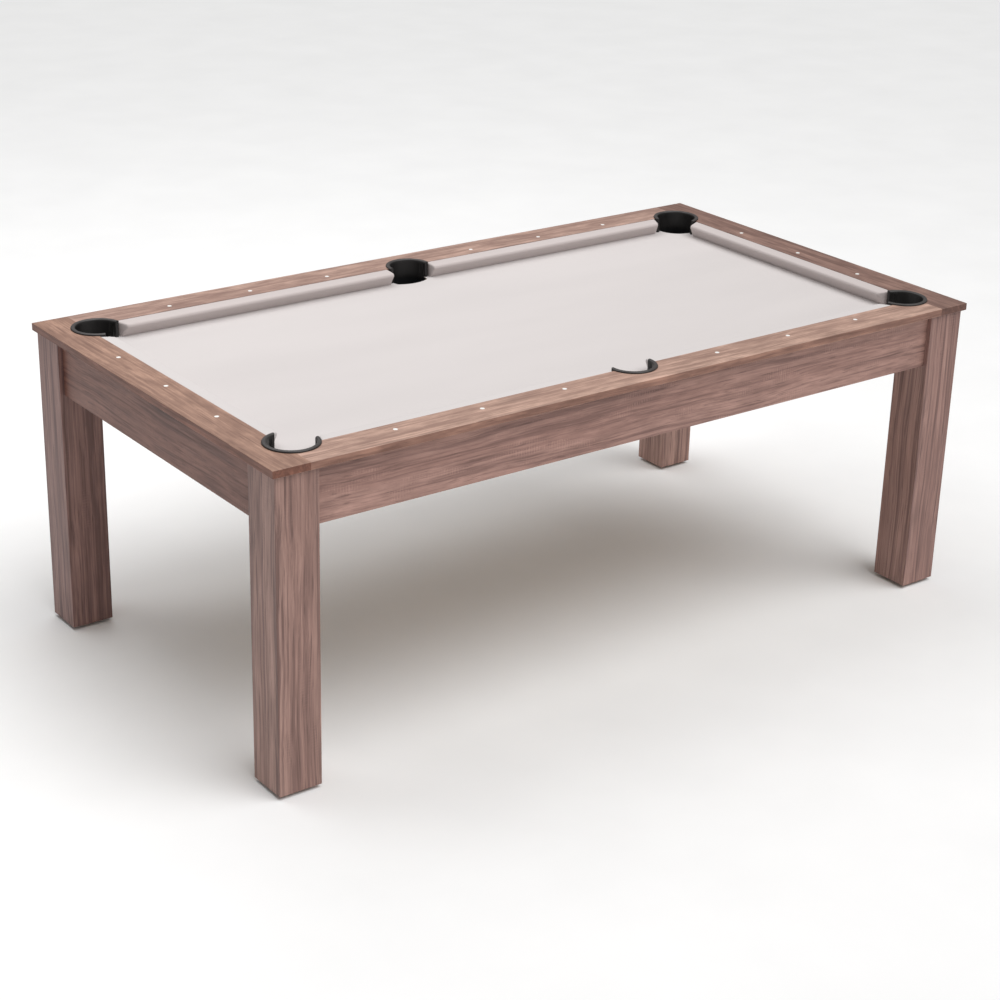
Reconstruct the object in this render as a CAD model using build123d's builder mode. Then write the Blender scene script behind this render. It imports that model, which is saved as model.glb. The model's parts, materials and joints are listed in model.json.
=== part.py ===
# A seven-foot home pool table: four hollow square legs with screw-in levelling feet, an apron
# frame, a cloth-covered bed with six drop pockets, and a rail frame with six rubber cushions.
# Millimetres. +X runs along the length, +Y to the back, +Z up. The origin is on the floor,
# under the middle of the table.
from build123d import *
import os

os.makedirs("parts", exist_ok=True)

# ---- driving dimensions ----
TABLE_LENGTH = 2134
TABLE_WIDTH = 1158
RAIL_TOP = 810
FOOT_GAP = 10

BOARD_WIDTH = 95
BOARD_THICK = 19
BOARD_EASE = 0.8

LEG_SIDE = 112
LEG_INSET = 9
LEG_WALL = 13
LEG_EASE = 1
LEG_BLOCK_HEIGHT = 30

APRON_HEIGHT = 140
APRON_THICK = 18

BED_DROP = 38
CLOTH_THICK = 1
SLAB_THICK = 18
SLAB_GAP = 1

CUSHION_REACH = 40.1
CUSHION_TOP_DROP = 0.7
CUSHION_NOSE_DROP = 2.8
CUSHION_FOOT = 20
NOSE_RADIUS = 5
CUSHION_END_AT_WOOD = 86
CUSHION_END_AT_NOSE = 104
CUSHION_SIDE_AT_WOOD = 64
CUSHION_SIDE_AT_NOSE = 65.5
BACKER_WIDTH = 52
BACKER_CORNER_END = 87

CORNER_POCKET_INSET = 25
CORNER_POCKET_R = 54
CORNER_EDGE_INSET = 7
CORNER_EDGE_R = 60
CORNER_LINER_END = 16
SIDE_POCKET_INSET = 8
SIDE_POCKET_R = 51
SIDE_EDGE_REACH = 40.5
SIDE_EDGE_R = 90
SIDE_LINER_END = 12
LINER_WALL = 10
LINER_FLANGE = 2
LINER_FLANGE_THICK = 4
LINER_ROUND = 7
LINER_FIT = 0.3
CUP_FIT = 0.5
CUP_WALL = 3
CUP_FLOOR_Z = 667
CUP_FLANGE = 10

SIGHT_R = 5.5
SIGHT_THICK = 2
SIGHT_FIT = 0.02
SIGHT_INSET = 62
SIGHT_PITCH_LONG = 238
SIGHT_PITCH_SHORT = 235

BEAM_WIDTH = 40
BEAM_HEIGHT = 60
BEAM_PLACES = (-640, -280, 280, 640)
CLEAT_WIDTH = 20
CLEAT_HEIGHT = 30
CLEAT_LONG_FROM = 70
CLEAT_LONG_TO = 900
CLEAT_SHORT_HALF = 380

BRACKET_SIDE = 45
BRACKET_THICK = 3
BRACKET_HEIGHT = 80
BRACKET_DROP = 2

BOLT_R = 4
BOLT_HEAD_R = 8
BOLT_HEAD_THICK = 5
BOLT_SOCKET_R = 3
BOLT_SOCKET_DEPTH = 3
BOLT_HOLE_R = 4.25
LEG_BOLT_BITE = 10
LEG_BOLT_FROM_CORNER = 27
LEG_BOLT_HEIGHTS = (690, 735)
RAIL_BOLT_BITE = 16
RAIL_BOLT_INSET = 24
RAIL_BOLT_PLACES_LONG = (150, 470, 790)
RAIL_BOLT_PLACES_SHORT = (-300, 0, 300)

PAD_R = 19
PAD_THICK = 6
PAD_EASE = 1
PAD_SOCKET_DEPTH = 3
PIN_R = 3.5
STEM_R = 4
STEM_TOP = 46
STEM_HEX_R = 7.5
STEM_HEX_GAP = 0.4
RUNNING_FIT = 0.05
INSERT_R = 7
INSERT_LENGTH = 28

# ---- places worked out from the driving dimensions ----
HALF_LENGTH = TABLE_LENGTH / 2
HALF_WIDTH = TABLE_WIDTH / 2
INNER_X = HALF_LENGTH - BOARD_WIDTH
INNER_Y = HALF_WIDTH - BOARD_WIDTH
BOARD_Z = RAIL_TOP - BOARD_THICK
APRON_Z = BOARD_Z - APRON_HEIGHT
BED_TOP = RAIL_TOP - BED_DROP
SLAB_TOP = BED_TOP - CLOTH_THICK
SLAB_Z = SLAB_TOP - SLAB_THICK
LEG_X = HALF_LENGTH - LEG_INSET - LEG_SIDE / 2
LEG_Y = HALF_WIDTH - LEG_INSET - LEG_SIDE / 2
APRON_X = HALF_LENGTH - LEG_INSET - LEG_WALL
APRON_Y = HALF_WIDTH - LEG_INSET - LEG_WALL
FRAME_X = APRON_X - APRON_THICK
FRAME_Y = APRON_Y - APRON_THICK
SIGHT_X = HALF_LENGTH - SIGHT_INSET
SIGHT_Y = HALF_WIDTH - SIGHT_INSET
BRACKET_Z = SLAB_Z - BRACKET_DROP - BRACKET_HEIGHT

SIDES = {"front": -1, "back": 1}
ENDS = {"left": -1, "right": 1}
CORNERS = {f"{side}_{end}": (ENDS[end], SIDES[side]) for side in SIDES for end in ENDS}


def save(builder, node_name):
    """Label the finished piece and write it as its own file."""
    builder.part.label = node_name
    export_step(builder.part, f"parts/{node_name}.step")


# ---- pocket outlines, shared by the rails, the bed, the liners and the cups ----
class Pocket:
    """A pocket's centre line and the two circles whose overlap is the hole in the bed."""

    def __init__(self, x_sign, y_sign):
        self.x_sign = x_sign
        self.y_sign = y_sign
        if x_sign:
            self.radius = CORNER_POCKET_R
            self.centre = self.from_inner_corner(CORNER_POCKET_INSET)
            self.edge_radius = CORNER_EDGE_R
            self.edge_centre = self.from_inner_corner(CORNER_EDGE_INSET)
        else:
            self.radius = SIDE_POCKET_R
            self.centre = (0, y_sign * (INNER_Y - SIDE_POCKET_INSET))
            self.edge_radius = SIDE_EDGE_R
            self.edge_centre = (0, y_sign * (INNER_Y - SIDE_EDGE_REACH + SIDE_EDGE_R))

    def from_inner_corner(self, inset):
        """A point in from the corner where the boards' inner edges meet."""
        return (self.x_sign * (INNER_X - inset), self.y_sign * (INNER_Y - inset))

    def hole_outline(self, grow):
        """Draw the hole in the bed, grown outwards by a distance, in the open sketch."""
        with Locations(self.centre):
            Circle(self.radius + grow)
        with Locations(self.edge_centre):
            Circle(self.edge_radius + grow, mode=Mode.INTERSECT)

    def ring_outline(self, inner_radius, outer_radius):
        """Draw the C-shaped ring that stands round the back of the pocket."""
        with Locations(self.centre):
            Circle(outer_radius)
        with Locations(self.centre):
            Circle(inner_radius, mode=Mode.SUBTRACT)
        mouth = 2 * outer_radius
        if self.x_sign:
            with Locations(self.from_inner_corner(CORNER_LINER_END + mouth / 2)):
                Rectangle(mouth, mouth, mode=Mode.SUBTRACT)
        else:
            with Locations((0, self.y_sign * (INNER_Y - SIDE_LINER_END - mouth / 2))):
                Rectangle(mouth, mouth, mode=Mode.SUBTRACT)


POCKETS = {name: Pocket(*signs) for name, signs in CORNERS.items()}
POCKETS["front_side"] = Pocket(0, SIDES["front"])
POCKETS["back_side"] = Pocket(0, SIDES["back"])


# ---- rail sights: small discs let in flush with the tops of the rail boards ----
def long_sight_places(y_sign):
    """Three sights each side of the side pocket."""
    steps = (-3, -2, -1, 1, 2, 3)
    return [(step * SIGHT_PITCH_LONG, y_sign * SIGHT_Y) for step in steps]


def short_sight_places(x_sign):
    """Three sights along a short rail."""
    steps = (-1, 0, 1)
    return [(x_sign * SIGHT_X, step * SIGHT_PITCH_SHORT) for step in steps]


with BuildPart() as rail_sights:
    with BuildSketch(Plane.XY.offset(RAIL_TOP - SIGHT_THICK)):
        for sign in (-1, 1):
            with Locations(*long_sight_places(sign)):
                Circle(SIGHT_R)
            with Locations(*short_sight_places(sign)):
                Circle(SIGHT_R)
    extrude(amount=SIGHT_THICK)
save(rail_sights, "rail_sights")


# ---- rail boards: the short boards run through, the long boards fit between them ----
def at_outer_edge(point):
    """True for a point on the outside of the rail frame."""
    tolerance = 0.01
    on_end = abs(abs(point.X) - HALF_LENGTH) < tolerance
    on_side = abs(abs(point.Y) - HALF_WIDTH) < tolerance
    return on_end or on_side


def rail_board(size, centre, sight_places):
    """One flat board with its pocket notches, sight seats and eased outer edges."""
    with BuildPart() as board:
        with BuildSketch(Plane.XY.offset(BOARD_Z)):
            with Locations(centre):
                Rectangle(*size)
        extrude(amount=BOARD_THICK)
        outer_edges = board.edges().filter_by(Plane.XY).filter_by(lambda edge: at_outer_edge(edge.center()))
        chamfer(outer_edges, length=BOARD_EASE)
        with BuildSketch(Plane.XY.offset(BOARD_Z)):
            for pocket in POCKETS.values():
                with Locations(pocket.centre):
                    Circle(pocket.radius + LINER_WALL + LINER_FIT)
        extrude(amount=BOARD_THICK, mode=Mode.SUBTRACT)
        with Locations(*[(x, y, RAIL_TOP) for x, y in sight_places]):
            Hole(SIGHT_R + SIGHT_FIT, depth=SIGHT_THICK)
    return board


for side, y_sign in SIDES.items():
    centre = (0, y_sign * (HALF_WIDTH - BOARD_WIDTH / 2))
    board = rail_board((2 * INNER_X, BOARD_WIDTH), centre, long_sight_places(y_sign))
    save(board, f"rail_board_{side}")

for end, x_sign in ENDS.items():
    centre = (x_sign * (HALF_LENGTH - BOARD_WIDTH / 2), 0)
    board = rail_board((BOARD_WIDTH, TABLE_WIDTH), centre, short_sight_places(x_sign))
    save(board, f"rail_board_{end}")


# ---- cushions: a wooden backer under each board, a rubber strip and its cloth ----
class Cushion:
    """One cushion's place: the plane of its section and its outline seen from above."""

    def __init__(self, plane, wood_line, nose_line):
        self.plane = plane
        self.plan = wood_line + nose_line

    def extrude_section(self, draw_section):
        """Run a section the length of the cushion and cut its two ends to the plan."""
        with BuildPart() as piece:
            with BuildSketch(self.plane) as section:
                draw_section(section)
            extrude(amount=TABLE_LENGTH / 2, both=True)
            with BuildSketch(Plane.XY.offset(BED_TOP)):
                Polygon(*self.plan, align=None)
            extrude(amount=BED_DROP, mode=Mode.INTERSECT)
        return piece


def draw_cushion_outside(section):
    """The whole section: a flat top, a rounded nose and a face that runs back to the bed."""
    back = -CLOTH_THICK
    top = RAIL_TOP - CUSHION_TOP_DROP
    nose = RAIL_TOP - CUSHION_NOSE_DROP
    corners = [(back, top), (back, BED_TOP), (CUSHION_FOOT, BED_TOP), (CUSHION_REACH, nose)]
    Polygon(*corners, align=None)
    fillet(section.vertices().sort_by(Axis.X)[-1], radius=NOSE_RADIUS)


def draw_rubber(section):
    """The rubber fills the section to one cloth inside its outline."""
    draw_cushion_outside(section)
    offset(amount=-CLOTH_THICK, kind=Kind.INTERSECTION, mode=Mode.REPLACE)


def draw_cloth(section):
    """The cloth is the skin outside the rubber, open at the back where the rubber meets wood."""
    draw_cushion_outside(section)
    offset(amount=-CLOTH_THICK, kind=Kind.INTERSECTION, mode=Mode.SUBTRACT)
    with Locations((-CLOTH_THICK / 2, RAIL_TOP)):
        Rectangle(CLOTH_THICK, 4 * BED_DROP, mode=Mode.SUBTRACT)


def long_cushion(x_sign, y_sign):
    """Half of a long rail, from the side pocket to a corner pocket."""
    plane = Plane((0, y_sign * INNER_Y, 0), x_dir=(0, -y_sign, 0), z_dir=(-y_sign, 0, 0))
    wood_y = y_sign * (INNER_Y + CLOTH_THICK)
    nose_y = y_sign * (INNER_Y - CUSHION_REACH)
    wood_end = INNER_X - CUSHION_END_AT_WOOD
    nose_end = INNER_X - CUSHION_END_AT_NOSE
    wood_line = [(x_sign * CUSHION_SIDE_AT_WOOD, wood_y), (x_sign * wood_end, wood_y)]
    nose_line = [(x_sign * nose_end, nose_y), (x_sign * CUSHION_SIDE_AT_NOSE, nose_y)]
    return Cushion(plane, wood_line, nose_line)


def short_cushion(x_sign):
    """The single cushion of a short rail, between its two corner pockets."""
    plane = Plane((x_sign * INNER_X, 0, 0), x_dir=(-x_sign, 0, 0), z_dir=(0, x_sign, 0))
    wood_x = x_sign * (INNER_X + CLOTH_THICK)
    nose_x = x_sign * (INNER_X - CUSHION_REACH)
    wood_end = INNER_Y - CUSHION_END_AT_WOOD
    nose_end = INNER_Y - CUSHION_END_AT_NOSE
    wood_line = [(wood_x, -wood_end), (wood_x, wood_end)]
    nose_line = [(nose_x, nose_end), (nose_x, -nose_end)]
    return Cushion(plane, wood_line, nose_line)


def cushion_backer(low_corner, high_corner, bolt_places):
    """A plain batten between two opposite corners in plan."""
    size_x = high_corner[0] - low_corner[0]
    size_y = high_corner[1] - low_corner[1]
    middle = ((low_corner[0] + high_corner[0]) / 2, (low_corner[1] + high_corner[1]) / 2)
    with BuildPart() as backer:
        with BuildSketch(Plane.XY.offset(BED_TOP)):
            with Locations(middle):
                Rectangle(size_x, size_y)
        extrude(amount=BOARD_Z - BED_TOP)
        with BuildSketch(Plane.XY.offset(BED_TOP)):
            with Locations(*bolt_places):
                Circle(BOLT_HOLE_R)
        extrude(amount=RAIL_BOLT_BITE, mode=Mode.SUBTRACT)
    return backer


CUSHIONS = {name: long_cushion(*signs) for name, signs in CORNERS.items()}
CUSHIONS["left"] = short_cushion(ENDS["left"])
CUSHIONS["right"] = short_cushion(ENDS["right"])

for name, cushion in CUSHIONS.items():
    save(cushion.extrude_section(draw_rubber), f"cushion_rubber_{name}")
    save(cushion.extrude_section(draw_cloth), f"cushion_cloth_{name}")

for name, (x_sign, y_sign) in CORNERS.items():
    xs = sorted([x_sign * CUSHION_SIDE_AT_WOOD, x_sign * (INNER_X - BACKER_CORNER_END)])
    ys = sorted([y_sign * INNER_Y, y_sign * (INNER_Y + BACKER_WIDTH)])
    bolts = [(x_sign * x, y_sign * (INNER_Y + RAIL_BOLT_INSET)) for x in RAIL_BOLT_PLACES_LONG]
    save(cushion_backer((xs[0], ys[0]), (xs[1], ys[1]), bolts), f"cushion_backer_{name}")

for end, x_sign in ENDS.items():
    xs = sorted([x_sign * INNER_X, x_sign * (INNER_X + BACKER_WIDTH)])
    half = INNER_Y - BACKER_CORNER_END
    bolts = [(x_sign * (INNER_X + RAIL_BOLT_INSET), y) for y in RAIL_BOLT_PLACES_SHORT]
    save(cushion_backer((xs[0], -half), (xs[1], half), bolts), f"cushion_backer_{end}")


# ---- bed: a slab with six pocket holes, and the cloth stretched over it ----
RAIL_BOLTS = [
    (x_sign * x, y_sign * (INNER_Y + RAIL_BOLT_INSET))
    for x in RAIL_BOLT_PLACES_LONG
    for x_sign in (-1, 1)
    for y_sign in (-1, 1)
]
RAIL_BOLTS += [
    (x_sign * (INNER_X + RAIL_BOLT_INSET), y)
    for y in RAIL_BOLT_PLACES_SHORT
    for x_sign in (-1, 1)
]


def bed_layer(low, thick):
    """A full-size layer of the bed with its pocket and bolt holes."""
    with BuildPart() as layer:
        with BuildSketch(Plane.XY.offset(low)):
            Rectangle(2 * (FRAME_X - SLAB_GAP), 2 * (FRAME_Y - SLAB_GAP))
        extrude(amount=thick)
        for pocket in POCKETS.values():
            with BuildSketch(Plane.XY.offset(low)):
                pocket.hole_outline(0)
            extrude(amount=thick, mode=Mode.SUBTRACT)
        with BuildSketch(Plane.XY.offset(low)):
            with Locations(*RAIL_BOLTS):
                Circle(BOLT_HOLE_R)
        extrude(amount=thick, mode=Mode.SUBTRACT)
    return layer


save(bed_layer(SLAB_Z, SLAB_THICK), "bed_slab")
save(bed_layer(SLAB_TOP, CLOTH_THICK), "bed_cloth")


# ---- pocket liners: a C-shaped wall on the bed with a thin flange on the rail tops ----
def pocket_liner(pocket):
    """The moulding that stands round the back of one pocket."""
    outer_radius = pocket.radius + LINER_WALL
    with BuildPart() as liner:
        with BuildSketch(Plane.XY.offset(BED_TOP)):
            pocket.ring_outline(pocket.radius, outer_radius)
        extrude(amount=BED_DROP)
        with BuildSketch(Plane.XY.offset(RAIL_TOP)):
            pocket.ring_outline(pocket.radius, outer_radius + LINER_FLANGE)
        extrude(amount=LINER_FLANGE_THICK)
        top_face = liner.faces().filter_by(Axis.Z).sort_by(Axis.Z)[-1]
        inner_edge, outer_edge = top_face.edges().filter_by(GeomType.CIRCLE).sort_by(SortBy.RADIUS)
        fillet(inner_edge, radius=LINER_ROUND)
        fillet(outer_edge, radius=LINER_FLANGE_THICK / 2)
    return liner


# ---- pocket cups: they line the holes in the bed and hang below it to catch the balls ----
def pocket_cup(pocket):
    """A cup with the hole's own outline, a floor, and a flange under the bed."""
    with BuildPart() as cup:
        with BuildSketch(Plane.XY.offset(CUP_FLOOR_Z)):
            pocket.hole_outline(-CUP_FIT)
        extrude(amount=SLAB_TOP - CUP_FLOOR_Z)
        with BuildSketch(Plane.XY.offset(SLAB_Z - CUP_WALL)):
            pocket.hole_outline(CUP_FLANGE)
        extrude(amount=CUP_WALL)
        with BuildSketch(Plane.XY.offset(CUP_FLOOR_Z + CUP_WALL)):
            pocket.hole_outline(-CUP_FIT - CUP_WALL)
        extrude(amount=SLAB_TOP - CUP_FLOOR_Z, mode=Mode.SUBTRACT)
    return cup


for name, pocket in POCKETS.items():
    save(pocket_liner(pocket), f"pocket_liner_{name}")
    save(pocket_cup(pocket), f"pocket_cup_{name}")


# ---- aprons: the long ones run to the corners, the short ones fit between them ----
def long_seat(x_sign, y_sign, y):
    """A plane facing out across a long apron, and the places of one corner's bolts on it."""
    plane = Plane((0, y_sign * y, 0), x_dir=(-y_sign, 0, 0), z_dir=(0, y_sign, 0))
    along = -x_sign * y_sign * (FRAME_X - LEG_BOLT_FROM_CORNER)
    return plane, [(along, z) for z in LEG_BOLT_HEIGHTS]


def short_seat(x_sign, y_sign, x):
    """A plane facing out across a short apron, and the places of one corner's bolts on it."""
    plane = Plane((x_sign * x, 0, 0), x_dir=(0, x_sign, 0), z_dir=(x_sign, 0, 0))
    along = x_sign * y_sign * (FRAME_Y - LEG_BOLT_FROM_CORNER)
    return plane, [(along, z) for z in LEG_BOLT_HEIGHTS]


def corner_seats(x_sign, y_sign, x, y):
    """Both seats of one corner."""
    return [long_seat(x_sign, y_sign, y), short_seat(x_sign, y_sign, x)]


for side, y_sign in SIDES.items():
    with BuildPart() as apron:
        with BuildSketch(Plane.XY.offset(APRON_Z)):
            with Locations((0, y_sign * (APRON_Y - APRON_THICK / 2))):
                Rectangle(2 * APRON_X, APRON_THICK)
        extrude(amount=APRON_HEIGHT)
        for x_sign in (-1, 1):
            plane, spots = long_seat(x_sign, y_sign, FRAME_Y)
            with BuildSketch(plane):
                with Locations(*spots):
                    Circle(BOLT_HOLE_R)
            extrude(amount=APRON_THICK, mode=Mode.SUBTRACT)
    save(apron, f"apron_{side}")

for end, x_sign in ENDS.items():
    with BuildPart() as apron:
        with BuildSketch(Plane.XY.offset(APRON_Z)):
            with Locations((x_sign * (APRON_X - APRON_THICK / 2), 0)):
                Rectangle(APRON_THICK, 2 * FRAME_Y)
        extrude(amount=APRON_HEIGHT)
        for y_sign in (-1, 1):
            plane, spots = short_seat(x_sign, y_sign, FRAME_X)
            with BuildSketch(plane):
                with Locations(*spots):
                    Circle(BOLT_HOLE_R)
            extrude(amount=APRON_THICK, mode=Mode.SUBTRACT)
    save(apron, f"apron_{end}")


# ---- legs: hollow square posts whose outer panels lap over the frame's corners ----
for name, (x_sign, y_sign) in CORNERS.items():
    centre = (x_sign * LEG_X, y_sign * LEG_Y)
    lap_centre = (centre[0] - x_sign * LEG_WALL, centre[1] - y_sign * LEG_WALL)
    with BuildPart() as leg:
        with BuildSketch(Plane.XY.offset(FOOT_GAP)):
            with Locations(centre):
                Rectangle(LEG_SIDE, LEG_SIDE)
        extrude(amount=BOARD_Z - FOOT_GAP)
        chamfer(leg.edges().filter_by(Axis.Z), length=LEG_EASE)
        with BuildSketch(Plane.XY.offset(FOOT_GAP)):
            with Locations(centre):
                Rectangle(LEG_SIDE - 2 * LEG_WALL, LEG_SIDE - 2 * LEG_WALL)
        extrude(amount=APRON_Z - FOOT_GAP, mode=Mode.SUBTRACT)
        with BuildSketch(Plane.XY.offset(APRON_Z)):
            with Locations(lap_centre):
                Rectangle(LEG_SIDE, LEG_SIDE)
        extrude(amount=APRON_HEIGHT, mode=Mode.SUBTRACT)
        for plane, spots in corner_seats(x_sign, y_sign, APRON_X, APRON_Y):
            with BuildSketch(plane):
                with Locations(*spots):
                    Circle(BOLT_HOLE_R)
            extrude(amount=LEG_BOLT_BITE, mode=Mode.SUBTRACT)
    save(leg, f"leg_{name}")

LEG_CENTRES = [(x_sign * LEG_X, y_sign * LEG_Y) for x_sign, y_sign in CORNERS.values()]

with BuildPart() as leg_end_blocks:
    block_side = LEG_SIDE - 2 * LEG_WALL
    for block_z in (FOOT_GAP, APRON_Z - LEG_BLOCK_HEIGHT):
        with BuildSketch(Plane.XY.offset(block_z)):
            with Locations(*LEG_CENTRES):
                Rectangle(block_side, block_side)
        extrude(amount=LEG_BLOCK_HEIGHT)
    with BuildSketch(Plane.XY.offset(FOOT_GAP)):
        with Locations(*LEG_CENTRES):
            Circle(INSERT_R)
    extrude(amount=LEG_BLOCK_HEIGHT, mode=Mode.SUBTRACT)
save(leg_end_blocks, "leg_end_blocks")


# ---- levelling feet: a threaded insert, a screw with a hexagon, and a pad it turns in ----
with BuildPart() as leveller_inserts:
    with BuildSketch(Plane.XY.offset(FOOT_GAP)):
        with Locations(*LEG_CENTRES):
            Circle(INSERT_R)
            Circle(STEM_R + RUNNING_FIT, mode=Mode.SUBTRACT)
    extrude(amount=INSERT_LENGTH)
save(leveller_inserts, "leveller_inserts")

for name, (x_sign, y_sign) in CORNERS.items():
    centre = (x_sign * LEG_X, y_sign * LEG_Y)
    with BuildPart() as pad:
        with BuildSketch(Plane.XY):
            with Locations(centre):
                Circle(PAD_R)
        extrude(amount=PAD_THICK)
        chamfer(pad.edges().filter_by(GeomType.CIRCLE), length=PAD_EASE)
        with BuildSketch(Plane.XY.offset(PAD_THICK)):
            with Locations(centre):
                Circle(PIN_R + RUNNING_FIT)
        extrude(amount=-PAD_SOCKET_DEPTH, mode=Mode.SUBTRACT)
    save(pad, f"leveller_pad_{name}")

    with BuildPart() as stem:
        with BuildSketch(Plane.XY.offset(PAD_THICK - PAD_SOCKET_DEPTH)):
            with Locations(centre):
                Circle(PIN_R)
        extrude(amount=PAD_SOCKET_DEPTH)
        with BuildSketch(Plane.XY.offset(PAD_THICK)):
            with Locations(centre):
                RegularPolygon(STEM_HEX_R, side_count=6)
        extrude(amount=FOOT_GAP - STEM_HEX_GAP - PAD_THICK)
        with BuildSketch(Plane.XY.offset(PAD_THICK)):
            with Locations(centre):
                Circle(STEM_R)
        extrude(amount=STEM_TOP - PAD_THICK)
    save(stem, f"leveller_stem_{name}")


# ---- what carries the bed: beams across the frame and cleats round its inside ----
with BuildPart() as cross_beams:
    with BuildSketch(Plane.XY.offset(SLAB_Z - BEAM_HEIGHT)):
        with Locations(*[(x, 0) for x in BEAM_PLACES]):
            Rectangle(BEAM_WIDTH, 2 * (FRAME_Y - CLEAT_WIDTH))
    extrude(amount=BEAM_HEIGHT)
save(cross_beams, "cross_beams")

with BuildPart() as bed_cleats:
    long_middle = (CLEAT_LONG_FROM + CLEAT_LONG_TO) / 2
    long_places = [
        (x_sign * long_middle, y_sign * (FRAME_Y - CLEAT_WIDTH / 2)) for x_sign, y_sign in CORNERS.values()
    ]
    short_places = [(x_sign * (FRAME_X - CLEAT_WIDTH / 2), 0) for x_sign in ENDS.values()]
    with BuildSketch(Plane.XY.offset(SLAB_Z - CLEAT_HEIGHT)):
        with Locations(*long_places):
            Rectangle(CLEAT_LONG_TO - CLEAT_LONG_FROM, CLEAT_WIDTH)
        with Locations(*short_places):
            Rectangle(CLEAT_WIDTH, 2 * CLEAT_SHORT_HALF)
    extrude(amount=CLEAT_HEIGHT)
save(bed_cleats, "bed_cleats")


# ---- fixings: angle brackets in the corners, the leg bolts and the rail bolts ----
with BuildPart() as corner_brackets:
    for x_sign, y_sign in CORNERS.values():
        middle = (x_sign * (FRAME_X - BRACKET_SIDE / 2), y_sign * (FRAME_Y - BRACKET_SIDE / 2))
        inside = (middle[0] - x_sign * BRACKET_THICK, middle[1] - y_sign * BRACKET_THICK)
        with BuildSketch(Plane.XY.offset(BRACKET_Z)):
            with Locations(middle):
                Rectangle(BRACKET_SIDE, BRACKET_SIDE)
            with Locations(inside):
                Rectangle(BRACKET_SIDE, BRACKET_SIDE, mode=Mode.SUBTRACT)
        extrude(amount=BRACKET_HEIGHT)
    for x_sign, y_sign in CORNERS.values():
        for plane, spots in corner_seats(x_sign, y_sign, FRAME_X, FRAME_Y):
            with BuildSketch(plane):
                with Locations(*spots):
                    Circle(BOLT_HOLE_R)
            extrude(amount=-BRACKET_THICK, mode=Mode.SUBTRACT)
save(corner_brackets, "corner_brackets")

with BuildPart() as leg_bolts:
    for x_sign, y_sign in CORNERS.values():
        for plane, spots in corner_seats(x_sign, y_sign, FRAME_X - BRACKET_THICK, FRAME_Y - BRACKET_THICK):
            with BuildSketch(plane):
                with Locations(*spots):
                    Circle(BOLT_R)
            extrude(amount=BRACKET_THICK + APRON_THICK + LEG_BOLT_BITE)
            with BuildSketch(plane):
                with Locations(*spots):
                    Circle(BOLT_HEAD_R)
            extrude(amount=-BOLT_HEAD_THICK)
            with BuildSketch(plane.offset(-BOLT_HEAD_THICK)):
                with Locations(*spots):
                    RegularPolygon(BOLT_SOCKET_R, side_count=6)
            extrude(amount=BOLT_SOCKET_DEPTH, mode=Mode.SUBTRACT)
save(leg_bolts, "leg_bolts")

with BuildPart() as rail_bolts:
    with BuildSketch(Plane.XY.offset(SLAB_Z)):
        with Locations(*RAIL_BOLTS):
            Circle(BOLT_R)
    extrude(amount=BED_TOP + RAIL_BOLT_BITE - SLAB_Z)
    with BuildSketch(Plane.XY.offset(SLAB_Z)):
        with Locations(*RAIL_BOLTS):
            Circle(BOLT_HEAD_R)
    extrude(amount=-BOLT_HEAD_THICK)
    with BuildSketch(Plane.XY.offset(SLAB_Z - BOLT_HEAD_THICK)):
        with Locations(*RAIL_BOLTS):
            RegularPolygon(BOLT_SOCKET_R, side_count=6)
    extrude(amount=BOLT_SOCKET_DEPTH, mode=Mode.SUBTRACT)
save(rail_bolts, "rail_bolts")
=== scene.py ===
"""Looks for the pool table: laminate, cloth, cushions, pocket liners, floor, lights and camera."""
import json
import math

import bmesh
import bpy
from mathutils import Matrix, Vector


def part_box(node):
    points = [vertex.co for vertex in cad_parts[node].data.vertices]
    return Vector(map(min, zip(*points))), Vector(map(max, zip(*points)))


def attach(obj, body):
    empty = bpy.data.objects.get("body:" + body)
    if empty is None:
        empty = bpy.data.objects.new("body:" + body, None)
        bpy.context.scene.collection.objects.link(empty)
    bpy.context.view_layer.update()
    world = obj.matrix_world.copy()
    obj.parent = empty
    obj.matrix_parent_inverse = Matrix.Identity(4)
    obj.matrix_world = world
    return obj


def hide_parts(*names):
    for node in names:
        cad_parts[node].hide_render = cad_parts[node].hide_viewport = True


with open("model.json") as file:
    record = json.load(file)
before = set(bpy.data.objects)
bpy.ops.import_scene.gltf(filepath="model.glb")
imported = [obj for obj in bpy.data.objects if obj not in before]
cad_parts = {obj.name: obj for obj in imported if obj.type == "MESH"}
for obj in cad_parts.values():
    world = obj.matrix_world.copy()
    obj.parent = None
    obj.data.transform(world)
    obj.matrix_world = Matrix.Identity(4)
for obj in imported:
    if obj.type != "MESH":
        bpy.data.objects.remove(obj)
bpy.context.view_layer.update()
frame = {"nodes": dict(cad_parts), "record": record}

NODES = frame["nodes"]
CORNERS = {"front_left": (-1, -1), "front_right": (1, -1), "back_left": (-1, 1), "back_right": (1, 1)}

# ---- sizes read from the frame, in metres ----
BED_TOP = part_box("bed_cloth")[1][2]
INNER_Y = abs(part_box("rail_board_front")[1][1])
INNER_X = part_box("rail_board_right")[0][0]
MM = 0.001


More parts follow.
